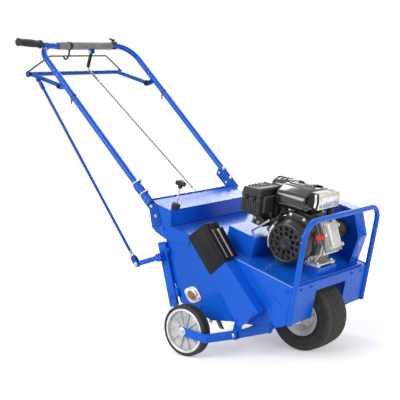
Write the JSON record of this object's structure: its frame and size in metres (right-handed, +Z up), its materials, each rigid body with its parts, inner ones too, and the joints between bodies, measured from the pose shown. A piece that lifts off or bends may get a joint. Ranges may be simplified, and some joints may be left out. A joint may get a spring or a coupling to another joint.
{
  "type": "lawn aerator",
  "caption": "Walk-behind lawn aerator with a powered drum of spoon tines, one front wheel, a lift linkage for its rear wheels and a tubular U handle.",
  "frame": {"origin": "on the ground, in the middle of the machine's bounding box", "axes": "+X forward, +Y to the machine's left, +Z up"},
  "size_m": [1.4664, 0.8472, 1.2338],
  "materials": {
    "blue_paint": "gloss",
    "dark_blue": "gloss",
    "black_plastic": "matte",
    "black_metal": "satin",
    "black_rubber": "matte",
    "tyre_rubber": "matte",
    "grey_foam": "matte",
    "grey_plastic": "satin",
    "cast_aluminium": "cast",
    "silver_steel": "bright",
    "zinc_steel": "satin",
    "raw_steel": "dull",
    "pale_metal": "satin",
    "tank_black": "gloss"
  },
  "bodies": {
    "frame": {"side_plate_right": "blue_paint", "side_plate_left": "blue_paint", "deck_plate": "blue_paint", "front_plate": "blue_paint", "hood": "blue_paint", "knob_block": "black_rubber", "drive_cover": "blue_paint", "belt_guard": "blue_paint", "chain_guard": "blue_paint", "ribbed_box": "black_plastic", "rear_rail_right": "blue_paint", "rear_rail_left": "blue_paint", "lower_bracket_right": "dark_blue", "lower_bracket_left": "dark_blue", "front_axle": "zinc_steel", "drum_bearing_right": "pale_metal", "drum_bearing_left": "pale_metal", "drive_belt": "black_rubber", "drum_chain": "raw_steel", "crankcase": "cast_aluminium", "cylinder": "cast_aluminium", "recoil_cover": "black_plastic", "fuel_tank": "tank_black", "air_cleaner": "black_plastic", "carburettor": "zinc_steel", "muffler": "silver_steel", "plug_cap": "black_rubber", "bull_bar": "blue_paint", "handle_bar": "blue_paint", "bar_grip": "grey_foam", "side_grip": "black_rubber", "handle_bracket_right": "dark_blue", "handle_bracket_left": "dark_blue", "clutch_cable": "zinc_steel", "latch_hook": "black_metal"},
    "tine_drum": {"drum_shaft": "raw_steel", "tine_wheel_1": "raw_steel", "tine_wheel_2": "raw_steel", "tine_wheel_3": "raw_steel", "tine_wheel_4": "raw_steel", "tine_wheel_5": "raw_steel"},
    "jackshaft": {"jackshaft": "raw_steel"},
    "engine_pulley": {"engine_pulley": "raw_steel"},
    "rear_wheel_right": {"rear_tyre_right": "black_rubber", "rear_hub_right": "grey_plastic"},
    "rear_wheel_left": {"rear_tyre_left": "black_rubber", "rear_hub_left": "grey_plastic"},
    "front_wheel": {"front_tyre": "tyre_rubber", "front_rim": "silver_steel"},
    "wheel_yoke": {"wheel_yoke": "blue_paint"},
    "lift_crank": {"lift_crank": "blue_paint"},
    "lift_link": {"lift_link": "dark_blue"},
    "push_rod": {"push_rod": "blue_paint"},
    "lift_bail": {"lift_bail": "blue_paint"},
    "latch_bail": {"latch_bail": "black_metal"},
    "clutch_lever": {"clutch_lever": "black_metal"},
    "throttle_lever": {"throttle_lever": "black_plastic"},
    "hood_knob": {"hood_knob": "black_plastic"},
    "recoil_grip": {"recoil_grip": "black_plastic"},
    "fuel_cap": {"fuel_cap": "silver_steel"}
  },
  "joints": [
    {"name": "yoke_lift", "type": "hinge", "parent": "frame", "child": "wheel_yoke", "pos_m": [0.40823, 0, 0.08803], "axis": [0, 1, 0], "range_deg": [0, 34]},
    {"name": "crank_turn", "type": "hinge", "parent": "frame", "child": "lift_crank", "pos_m": [0.04675, 0, 0.35188], "axis": [0, 1, 0], "range_deg": [-41, 0.5]},
    {"name": "link_swing", "type": "hinge", "parent": "lift_crank", "child": "lift_link", "pos_m": [0.0083, 0.3045, 0.2489], "axis": [0, 1, 0], "range_deg": [-0.5, 41]},
    {"name": "bail_lift", "type": "hinge", "parent": "frame", "child": "lift_bail", "pos_m": [-0.5288, 0, 1.025], "axis": [0, 1, 0], "range_deg": [-52, 0.5]},
    {"name": "rod_swing", "type": "hinge", "parent": "lift_bail", "child": "push_rod", "pos_m": [-0.6398, -0.309, 1.053], "axis": [0, 1, 0], "range_deg": [-0.5, 49]},
    {"name": "latch_swing", "type": "hinge", "parent": "lift_bail", "child": "latch_bail", "pos_m": [-0.7198, 0, 1.074], "axis": [0, -1, 0], "range_deg": [0, 100]},
    {"name": "clutch_pull", "type": "hinge", "parent": "frame", "child": "clutch_lever", "pos_m": [-0.6538, 0.035, 1.171], "axis": [0, 1, 0], "range_deg": [0, 25], "stiffness_Nm_per_rad": 0.6, "springref_deg": -20.05},
    {"name": "throttle_turn", "type": "hinge", "parent": "frame", "child": "throttle_lever", "pos_m": [-0.6598, 0.19, 1.2234], "axis": [-1, 0, 0], "range_deg": [-15, 50]},
    {"name": "rear_spin_right", "type": "hinge", "parent": "wheel_yoke", "child": "rear_wheel_right", "pos_m": [0.2482, -0.3803, 0.1016], "axis": [0, 1, 0], "continuous": true},
    {"name": "rear_spin_left", "type": "hinge", "parent": "wheel_yoke", "child": "rear_wheel_left", "pos_m": [0.2482, 0.3803, 0.1016], "axis": [0, 1, 0], "continuous": true},
    {"name": "front_spin", "type": "hinge", "parent": "frame", "child": "front_wheel", "pos_m": [0.56454, 0, 0.14047], "axis": [0, 1, 0], "continuous": true},
    {"name": "drum_spin", "type": "hinge", "parent": "frame", "child": "tine_drum", "pos_m": [0.1967, 0, 0.21453], "axis": [0, 1, 0], "continuous": true},
    {"name": "jackshaft_spin", "type": "hinge", "parent": "frame", "child": "jackshaft", "pos_m": [0.35281, 0, 0.36711], "axis": [0, 1, 0], "continuous": true},
    {"name": "engine_spin", "type": "hinge", "parent": "frame", "child": "engine_pulley", "pos_m": [0.56441, 0.224, 0.45094], "axis": [0, 1, 0], "continuous": true},
    {"name": "knob_turn", "type": "hinge", "parent": "frame", "child": "hood_knob", "pos_m": [0.08999, -0.24, 0.6006], "axis": [0.2756, 0, 0.9613], "continuous": true},
    {"name": "starter_pull", "type": "slide", "parent": "frame", "child": "recoil_grip", "axis": [-0.4951, 0, 0.8689], "range_m": [0, 0.5], "stiffness_N_per_m": 8, "springref_m": -0.05},
    {"name": "cap_turn", "type": "hinge", "parent": "frame", "child": "fuel_cap", "pos_m": [0.57693, -0.02, 0.66933], "axis": [0.1392, 0, 0.9903], "range_deg": [0, 90]}
  ],
  "couplings": [
    {"joint": "crank_turn", "follows": "yoke_lift", "ratio": -1.1889},
    {"joint": "link_swing", "follows": "yoke_lift", "ratio": 1.1872},
    {"joint": "bail_lift", "follows": "yoke_lift", "ratio": -1.5126},
    {"joint": "rod_swing", "follows": "yoke_lift", "ratio": 1.4278},
    {"joint": "jackshaft_spin", "follows": "drum_spin", "ratio": 3.3},
    {"joint": "engine_spin", "follows": "drum_spin", "ratio": 6.6}
  ]
}
